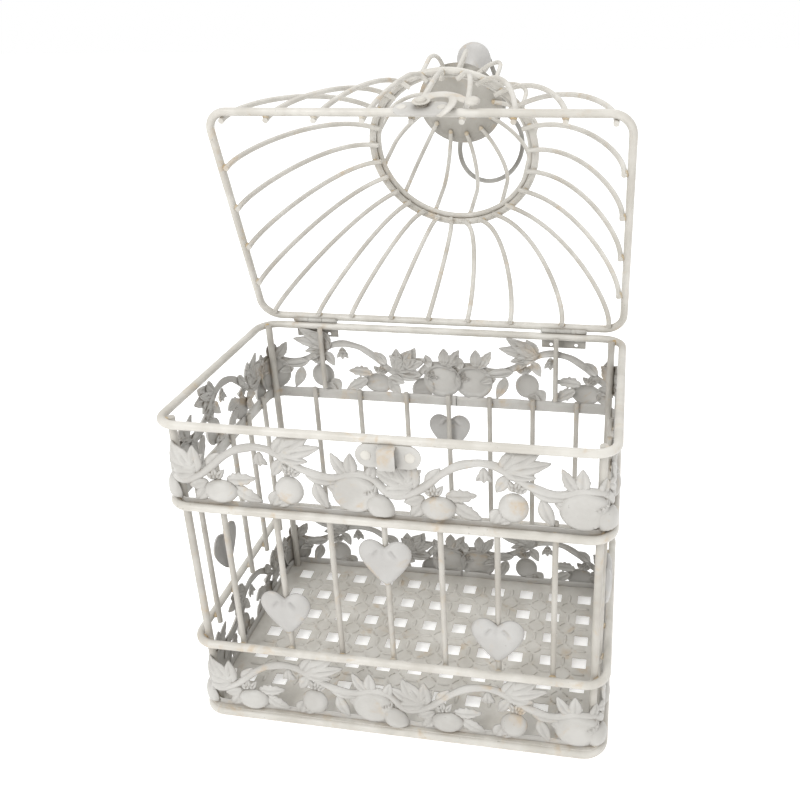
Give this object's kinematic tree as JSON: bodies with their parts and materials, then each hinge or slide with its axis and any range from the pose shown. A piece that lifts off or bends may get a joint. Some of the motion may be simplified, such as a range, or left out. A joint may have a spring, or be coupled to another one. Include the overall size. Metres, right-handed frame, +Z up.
{
  "type": "wedding card box",
  "caption": "Wire bird-cage card box with pressed vine bands and hearts, punched floor, hinged domed lid with crown, knob and ring handle, and a swing latch.",
  "frame": {"origin": "middle of the floor panel's top face", "axes": "+X to the right, +Y to the hinged back, +Z up; the lid is stored open"},
  "size_m": [0.259, 0.4126, 0.3873],
  "materials": {
    "cream_paint": "satin, hand painted, tan spots at the welds",
    "pressed_sheet": "satin, tan along the edges",
    "hinge_metal": "worn paint with bare steel showing",
    "handle_metal": "greyer worn paint"
  },
  "bodies": {
    "cage": {"base_rail": "cream_paint", "lower_band_rail": "cream_paint", "upper_band_rail": "cream_paint", "top_rim": "cream_paint", "corner_post_front_left": "cream_paint", "corner_post_front_right": "cream_paint", "corner_post_back_left": "cream_paint", "corner_post_back_right": "cream_paint", "front_bars": "cream_paint", "back_bars": "cream_paint", "left_bars": "cream_paint", "right_bars": "cream_paint", "hinge_struts": "cream_paint", "floor_panel": "cream_paint", "upper_band_front": "pressed_sheet", "upper_band_back": "pressed_sheet", "upper_band_left": "pressed_sheet", "upper_band_right": "pressed_sheet", "lower_band_front": "pressed_sheet", "lower_band_back": "pressed_sheet", "lower_band_left": "pressed_sheet", "lower_band_right": "pressed_sheet", "front_heart_left": "pressed_sheet", "front_heart_middle": "pressed_sheet", "front_heart_right": "pressed_sheet", "back_heart": "pressed_sheet", "left_heart": "pressed_sheet", "right_heart": "pressed_sheet", "keeper_plate": "cream_paint", "keeper_rivets": "cream_paint", "hinge_fixed_leaf_left": "hinge_metal", "hinge_fixed_leaf_right": "hinge_metal", "hinge_pin_left": "hinge_metal", "hinge_pin_right": "hinge_metal"},
    "lid": {"lid_rim": "cream_paint", "lid_ring": "cream_paint", "lid_ribs_back": "cream_paint", "lid_ribs_front": "cream_paint", "lid_ribs_left": "cream_paint", "lid_ribs_right": "cream_paint", "crown_ring": "cream_paint", "crown_ribs": "cream_paint", "cap_disc": "cream_paint", "finial": "cream_paint", "finial_eye": "cream_paint", "latch_plate": "cream_paint", "latch_plate_rivets": "cream_paint", "latch_pivot": "cream_paint", "hinge_moving_leaf_left": "hinge_metal", "hinge_moving_leaf_right": "hinge_metal"},
    "latch_lever": {"latch_lever": "cream_paint"},
    "handle_link": {"handle_link": "handle_metal"},
    "ring_handle": {"ring_handle": "handle_metal"}
  },
  "joints": [
    {"name": "lid_hinge", "type": "hinge", "parent": "cage", "child": "lid", "pos_m": [0, 0.077, 0.208], "axis": [1, 0, 0], "range_deg": [0, 72.4]},
    {"name": "latch_swing", "type": "hinge", "parent": "lid", "child": "latch_lever", "pos_m": [0.0058, 0.03626, 0.35958], "axis": [0, 0.3024, -0.9532], "range_deg": [-90, 32]},
    {"name": "link_swing", "type": "hinge", "parent": "lid", "child": "handle_link", "pos_m": [-0.008, 0.3095, 0.37058], "axis": [1, 0, 0], "range_deg": [-15, 110]},
    {"name": "ring_swing", "type": "hinge", "parent": "handle_link", "child": "ring_handle", "pos_m": [0.00336, 0.3095, 0.32148], "axis": [0.829, 0.5592, 0], "range_deg": [-35, 35]}
  ]
}
